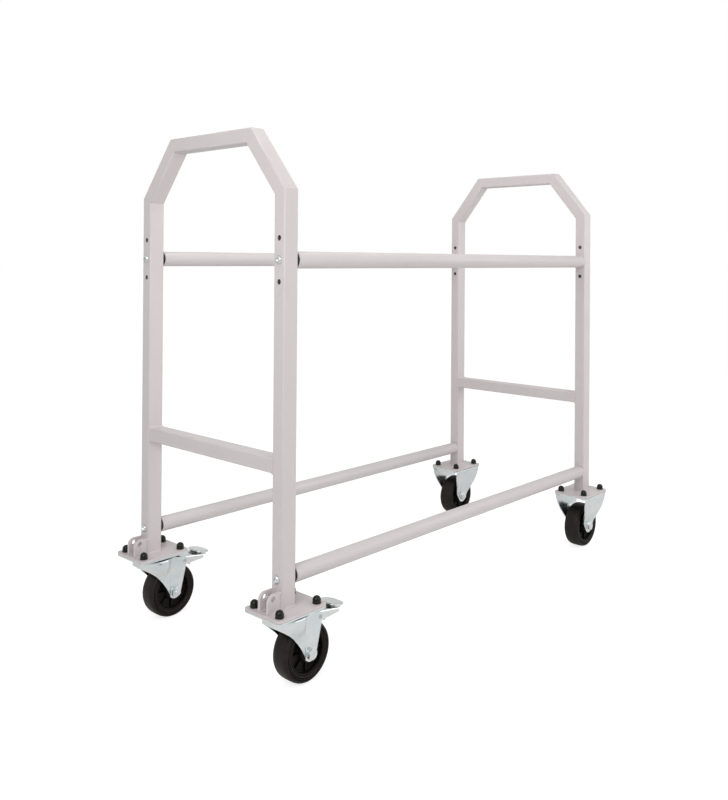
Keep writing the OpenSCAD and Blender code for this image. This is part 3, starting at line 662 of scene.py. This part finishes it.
def forkOutline():
    axleSpot, heel, steps = (trail, axleHeight), fork["heel"], fork["arcSteps"]
    high = fork["top"] - fork["edge"] + fork["spare"]
    lugStart = tangentTurn(fork["lugRoot"], brakePin, fork["lug"])
    lugStop = math.degrees(math.atan2(heel[1] - brakePin[1], heel[0] - brakePin[0])) + fork["lugPast"]
    footStart = tangentTurn(heel, axleSpot, fork["legEnd"])
    foot, top = Vector(fork["scoopFoot"]), Vector(fork["scoopTop"])
    footStop = math.degrees(math.atan2(foot.y - axleSpot[1], foot.x - axleSpot[0])) + fork["footPast"]
    chord = top - foot
    deep = math.sqrt(fork["scoopRadius"] ** 2 - (chord.length / 2) ** 2)
    centre = (foot + top) / 2 + Vector((chord.y, -chord.x)).normalized() * -deep
    turns = [math.degrees(math.atan2(spot.y - centre.y, spot.x - centre.x)) for spot in (foot, top)]
    lug = arcPoints(brakePin, fork["lug"], lugStart, lugStop, fork["lugSteps"])
    end = arcPoints(axleSpot, fork["legEnd"], footStart, footStop, steps)
    scoop = arcPoints(centre, fork["scoopRadius"], turns[0], turns[1], steps)
    reach = fork["crown"] + fork["cover"]
    cover = [(-reach, high), (fork["lugRoot"][0] + fork["lugRun"], high)]
    return cover + lug + [heel] + end + scoop + [(-reach, top.y + fork["spare"])]


def makeFork(name, place, body, node):
    shell = bmesh.new()
    crown, edge, top, sheet = fork["crown"], fork["edge"], fork["top"], fork["sheet"]
    rim, under = top - edge, top - sheet
    stackLines(shell, [forkLine(level) for level in [rim] + fork["levels"]], closed=False)
    shell = shapeSheet(shell, fork["inside"], sheet, [(drawPrism(forkOutline()), "INTERSECT")])
    rounded = arcPoints((crown - edge, rim), edge, 90, 0, fork["edgeSteps"])
    outline = [(fork["pinBore"], under), (fork["pinBore"], top)] + rounded
    outline += [(crown - sheet, rim), (crown - sheet - fork["innerSoft"], under)]
    spinRound(shell, outline, fork["steps"])
    makePiece(shell, name, place, "zinc_sheet", body, [node], fork["soft"], fork["sharp"])


# Brake pedals: bent channel, barrel round the pin, raised oval foot pad and the shoe under it
pedal = {
    "slope": 3.0, "travel": 12.0, "half": 18.7, "sheet": 2.5, "bend": 2.8, "inside": (20, 0, -20),
    "flare": 6.0, "top": (7.5, 3.4), "low": (-8.5, -3.4),  # heights at the flare's start and at the tip
    "stops": (-5.0, 1.0, 6.0, 14.0, 24.0, 34.0, 42.0, 46.5),
    "barrel": 5.0, "bore": 3.1, "barrelHalf": 18.6, "barrelBevel": 0.4, "barrelSteps": 48,
    "shoe": (14.0, 31.0, 16.0), "shoeMiddle": (11.0, 0, -5.5),
    "tyre": 50.5, "tyreDepth": 60.0, "tyreSteps": 128,
    "soft": 0.0004, "sharp": 32,
}
footPad = {
    "middle": 47.0, "length": 32.0, "width": 42.0, "corner": 14.5, "least": 1.5,
    "height": 9.6, "tilt": 7.0, "narrow": 1.2,
    "rings": [(8.0, -7.6), (8.0, -4.0), (4.2, -3.3), (1.2, -2.9), (0.2, -2.3), (0.0, -1.5), (0.3, -0.7),
              (1.2, -0.25), (3.0, 0.0), (3.8, -0.15), (6.0, -0.15), (12.0, -0.05), (22.0, 0.0)],
}


def channelLine(x):
    flare, half, bend = pedal["flare"], pedal["half"], pedal["bend"]
    share = max(0.0, (x - flare) / (pedal["stops"][-1] - flare))
    low, top = (first + share * (last - first) for first, last in (pedal["low"], pedal["top"]))
    flat = filletLine([(-half, low, 0), (-half, top, bend), (half, top, bend), (half, low, 0)])
    return [(x, y, z) for y, z in flat]


def padRings():
    fall = math.tan(math.radians(footPad["tilt"]))
    rings = []
    for inset, height in footPad["rings"]:
        length = footPad["length"] - inset
        width = footPad["width"] - inset * footPad["narrow"]
        corner = max(footPad["least"], footPad["corner"] - inset / 2)
        outline = roundedRect(length, width, corner, footPad["height"] + height)
        middle = footPad["middle"]
        rings.append([(middle + across, along, up - across * fall) for across, along, up in outline])
    return rings


def makeShoe():
    shoe = bmesh.new()
    addBlock(shoe, pedal["shoe"], pedal["shoeMiddle"])
    fromPin = Vector((trail - brakePin[0], 0, axleHeight - brakePin[1]))
    cutters = []
    for turn in (pedal["slope"], pedal["slope"] + pedal["travel"]):
        cutter = bmesh.new()
        bmesh.ops.create_cone(cutter, cap_ends=True, segments=pedal["tyreSteps"], depth=pedal["tyreDepth"],
                              radius1=pedal["tyre"], radius2=pedal["tyre"])
        spot = Matrix.Rotation(math.radians(-turn), 4, "Y") @ fromPin
        bmesh.ops.transform(cutter, matrix=Matrix.Translation(spot) @ toY, verts=cutter.verts)
        cutters.append((cutter, "DIFFERENCE"))
    return cutAway(makeObject(shoe, "shoe"), cutters)


def makePedal(name, place, body, node):
    bm = bmesh.new()
    stackLines(bm, [channelLine(x) for x in pedal["stops"]], closed=False)
    bm = shapeSheet(bm, pedal["inside"], pedal["sheet"])
    stackLines(bm, padRings(), caps=(True, True))
    barrel = bmesh.new()
    half, radius, bore, bevel = pedal["barrelHalf"], pedal["barrel"], pedal["bore"], pedal["barrelBevel"]
    outline = [(bore, -half), (radius - bevel, -half), (radius, bevel - half),
               (radius, half - bevel), (radius - bevel, half), (bore, half)]
    spinRound(barrel, outline, pedal["barrelSteps"])
    addMesh(bm, barrel, toY)
    addMesh(bm, makeShoe())
    makePiece(bm, name, place, "zinc_sheet", body, [node], pedal["soft"], pedal["sharp"])


# Fixed brackets: one bent sheet, a flat top with legs that taper to a round end.
# A bend is (out, up, radius) across the bracket, and (along, up, radius) in its side outline
bracket = {
    "plate": (105.0, 85.0, 6.0), "top": 128.0, "sheet": 3.0, "steps": 16, "inside": (0, 0, 90),
    "bend": 4.5, "belly": (35.0, 90.0, 30.0), "knee": (22.0, 58.0, 12.0), "foot": 30.0,
    "shoulder": (46.5, 124.0), "waist": (46.5, 108.0, 40.0), "hip": (28.5, 66.0, 40.0),
    "edgeSteps": 8, "legEnd": 15.5, "endSteps": 24,
    "spare": 2.0, "planSpare": 0.2, "planHeights": (20, 140),
    "soft": 0.0005, "sharp": 30,
}


def bracketLine(x):
    top, half = bracket["top"], bracket["plate"][1] / 2
    side = [(half, top, bracket["bend"]), bracket["belly"], bracket["knee"]]
    flat = filletLine([(0, top, 0)] + side + [(bracket["knee"][0], bracket["foot"], 0)])
    whole = [(-y, z) for y, z in reversed(flat[1:])] + flat
    return [(x, y, z) for y, z in whole]


def bracketOutline():
    axleSpot, radius = (0.0, axleHeight), bracket["legEnd"]
    shoulder, waist, hip = bracket["shoulder"], bracket["waist"], bracket["hip"]
    turn = tangentTurn(hip[:2], axleSpot, radius)
    touch = arcPoints(axleSpot, radius, turn, turn, 1)[0]
    edge = filletLine([(*shoulder, 0), waist, hip, (*touch, 0)], bracket["edgeSteps"])[:-1]
    reach, high = bracket["plate"][0] / 2 + bracket["spare"], bracket["top"] + bracket["spare"]
    half = [(reach, high), (reach, shoulder[1])] + edge
    end = arcPoints(axleSpot, radius, turn, -180 - turn, bracket["endSteps"])
    return half + end + [(-x, z) for x, z in reversed(half)]


def makeBracket(name, place, body, node):
    sheet = bmesh.new()
    length, width, radius = bracket["plate"]
    reach, steps = length / 2, bracket["steps"]
    xs = [-reach + 2 * reach * step / steps for step in range(steps + 1)]
    stackLines(sheet, [bracketLine(x) for x in xs], closed=False)
    plan = bmesh.new()
    width += bracket["planSpare"]
    rings = [roundedRect(length, width, radius, height) for height in bracket["planHeights"]]
    stackLines(plan, rings, caps=(True, True))
    bmesh.ops.recalc_face_normals(plan, faces=plan.faces)
    cuts = [(drawPrism(bracketOutline()), "INTERSECT"), (plan, "INTERSECT")]
    sheet = shapeSheet(sheet, bracket["inside"], bracket["sheet"], cuts)
    makePiece(sheet, name, place, "zinc_sheet", body, [node], bracket["soft"], bracket["sharp"])


for side, sign in sides.items():
    makeFork(f"{side}_pressed_fork", placeAt(-endX, sign * sideY), f"{side}_swivel", f"{side}_swivel_fork")
    tilt = Matrix.Rotation(math.radians(pedal["slope"]), 4, "Y")
    pinPlace = placeAt(-endX + brakePin[0], sign * sideY, brakePin[1], tilt)
    makePedal(f"{side}_bent_pedal", pinPlace, f"{side}_pedal", f"{side}_brake_pedal")
    makeBracket(f"{side}_bent_bracket", placeAt(endX, sign * sideY), "frame", f"{side}_fixed_bracket")
print("forks, pedals and brackets made")


# Rail screws: button heads with a hexagon socket
screw = {
    "head": 7.0, "height": 4.4, "foot": 0.3, "edge": 0.9, "flat": 3.4, "domeTurns": (15, 30, 45, 60, 72),
    "socket": 5.0, "socketDepth": 2.4, "socketEdge": 0.1,
    "shank": 4.0, "reach": 42.0, "sink": 0.2, "soft": 0.00015, "sharp": 32,
}


def addScrew(bm, matrix):
    part = bmesh.new()
    head, height, foot, edge, flat = (screw[key] for key in ("head", "height", "foot", "edge", "flat"))
    rings = [hexRing(0, 0, head - foot), hexRing(0, foot, head), hexRing(0, edge, head)]
    for turn in screw["domeTurns"]:
        share = math.radians(turn)
        radius = flat + (head - flat) * math.cos(share)
        rings.append(hexRing(0, edge + (height - edge) * math.sin(share), radius))
    rings.append(hexRing(0, height, flat))
    rings.append(hexRing(screw["socket"], height - screw["socketEdge"]))
    rings.append(hexRing(screw["socket"], height - screw["socketDepth"]))
    stackLines(part, rings, caps=(True, True))
    addRod(part, screw["shank"], -screw["reach"], screw["sink"])
    addMesh(bm, part, matrix)


def makeScrews():
    bm = bmesh.new()
    for end in ends:
        for sign in sides.values():
            for height in railHeights:
                turn = Matrix.Rotation(math.radians(90 * end), 4, "Y")
                addScrew(bm, Matrix.Translation((end * frameEnd, sign * sideY, height)) @ turn)
    makePiece(bm, "socket_screws", placeAt(0, 0), "zinc", "frame", ["rail_screws"],
              screw["soft"], screw["sharp"])


# Weld beads: small ripples round the feet, the crossbar ends and the tow ears
bead = {
    "radius": 1.9, "ripple": 0.28, "pitch": 2.6, "spacing": 1.0, "sides": 8, "cornerSteps": 4,
    "round": 3.0, "crossbarHeight": 356.0, "footLift": 0.4, "barLift": 0.2,
    "ears": (-10.0, 10.0), "earFaces": (-2.9, 2.9), "earLine": [(-26, 0.3, 0), (-0.3, 0.3, 0), (-0.3, 28, 0)],
}


def addBead(bm, corners, matrix, closed=True):
    path = filletLine(corners, bead["cornerSteps"])
    dots = [Vector(point) for point in path] + ([Vector(path[0])] if closed else [])
    spots = []
    for first, second in zip(dots, dots[1:]):
        count = max(1, round((second - first).length / bead["spacing"]))
        spots += [first.lerp(second, step / count) for step in range(count)]
    if not closed:
        spots.append(dots[-1])
    part = bmesh.new()
    rings = []
    for number, spot in enumerate(spots):
        before = spots[number - 1] if closed or number else spot
        after = spots[(number + 1) % len(spots)] if closed or number + 1 < len(spots) else spot
        along = (after - before).normalized()
        out = Vector((along.y, -along.x))
        wave = abs(math.sin(math.pi * number * bead["spacing"] / bead["pitch"]))
        radius = bead["radius"] + bead["ripple"] * wave
        turns = [2 * math.pi * step / bead["sides"] for step in range(bead["sides"])]
        rings.append([(*(spot + out * radius * math.cos(turn)), radius * math.sin(turn)) for turn in turns])
    stackLines(part, rings, caps=(not closed, not closed), joined=closed)
    addMesh(bm, part, matrix)


def makeWelds():
    bm = bmesh.new()
    x, y = tubeSize[0] / 2, tubeSize[1] / 2
    loop = [(x, y, bead["round"]), (-x, y, bead["round"]), (-x, -y, bead["round"]), (x, -y, bead["round"])]
    tubeX = frameEnd - x
    upright = Matrix.Rotation(math.radians(90), 4, "X")
    for end in ends:
        for sign in sides.values():
            addBead(bm, loop, Matrix.Translation((end * tubeX, sign * sideY, plateTop + bead["footLift"])))
            innerY = sign * (sideY - y - bead["barLift"])
            addBead(bm, loop, Matrix.Translation((end * tubeX, innerY, bead["crossbarHeight"])) @ upright)
    for sign in sides.values():
        for ear in bead["ears"]:
            for face in bead["earFaces"]:
                place = (-frameEnd, sign * sideY + ear + face, plateTop)
                addBead(bm, bead["earLine"], Matrix.Translation(place) @ upright, closed=False)
    makePiece(bm, "weld_beads", placeAt(0, 0), "frame_paint", "frame")


makeScrews()
makeWelds()
print("screws and welds made")


# Floor, backdrop and light. The camera sees the floor's glow, and all other rays see its plain colour
studio = {
    "sky": 0.53, "mirror": 0.72, "backdrop": 1.0,
    "floor": 0.92, "shadow": 0.42, "glow": 0.79, "floorSize": 40.0, "floorDrop": 0.0005,
}
lamps = {
    "topSoftbox": {"place": (0.3, -0.4, 3.0), "aim": (0, 0, 0.3), "size": (3.0, 3.0), "power": 3},
    "sideSoftbox": {"place": (1.3, -2.3, 1.25), "aim": (0.35, -0.2, 0.5), "size": (3.4, 2.2), "power": 18},
    "cameraSoftbox": {"place": (-1.45, -0.65, 1.15), "aim": (-0.3, 0, 0.5), "size": (0.6, 0.6), "power": 7},
    "farSoftbox": {"place": (-0.25, -0.1, 1.5), "aim": (0.485, 0, 0.75), "size": (0.5, 0.5), "power": 3},
    "endSoftbox": {"place": (0.85, -0.75, 0.9), "aim": (0.5, -0.15, 0.7), "size": (0.4, 0.6), "power": 1.3},
}


def grey(level):
    return (level, level, level, 1)


def makeFloor():
    bm = bmesh.new()
    bmesh.ops.create_grid(bm, x_segments=1, y_segments=1, size=studio["floorSize"])
    floor = makeObject(bm, "floor", Matrix.Translation((0, 0, -studio["floorDrop"])))
    material = bpy.data.materials.new("paleFloor")
    material.use_nodes = True
    tree = material.node_tree
    tree.nodes.remove(tree.nodes["Principled BSDF"])
    seen = addNode(tree, "ShaderNodeLightPath").outputs["Is Camera Ray"]
    soft = addNode(tree, "ShaderNodeBsdfDiffuse", {"Color": grey(studio["shadow"])})
    glow = addNode(tree, "ShaderNodeEmission", {"Color": grey(1), "Strength": studio["glow"]})
    pale = addNode(tree, "ShaderNodeAddShader", {0: soft.outputs[0], 1: glow.outputs[0]})
    matt = addNode(tree, "ShaderNodeBsdfDiffuse", {"Color": grey(studio["floor"])})
    both = addNode(tree, "ShaderNodeMixShader", {0: seen, 1: matt.outputs[0], 2: pale.outputs[0]})
    tree.links.new(both.outputs[0], tree.nodes["Material Output"].inputs["Surface"])
    floor.data.materials.append(material)


def makeWorld():
    world = bpy.data.worlds.new("studio")
    bpy.context.scene.world = world
    world.use_nodes = True
    tree = world.node_tree
    path = addNode(tree, "ShaderNodeLightPath")
    last = addNode(tree, "ShaderNodeBackground", {"Color": grey(1), "Strength": studio["sky"]}).outputs[0]
    for ray, level in (("Is Glossy Ray", studio["mirror"]), ("Is Camera Ray", studio["backdrop"])):
        even = addNode(tree, "ShaderNodeBackground", {"Color": grey(1), "Strength": level})
        mix = {0: path.outputs[ray], 1: last, 2: even.outputs[0]}
        last = addNode(tree, "ShaderNodeMixShader", mix).outputs[0]
    tree.links.new(last, tree.nodes["World Output"].inputs["Surface"])


def makeLamp(name, place, aim, size, power):
    lamp = bpy.data.lights.new(name, "AREA")
    lamp.shape = "RECTANGLE"
    lamp.size, lamp.size_y = size
    lamp.energy = power
    spot = bpy.data.objects.new(name, lamp)
    bpy.context.scene.collection.objects.link(spot)
    spot.location = place
    spot.rotation_euler = (Vector(aim) - Vector(place)).to_track_quat("-Z", "Y").to_euler()
    spot.visible_camera = False


makeFloor()
makeWorld()
for name, values in lamps.items():
    makeLamp(name, **values)
bpy.context.scene.view_settings.view_transform = "Standard"
print("stage lit")
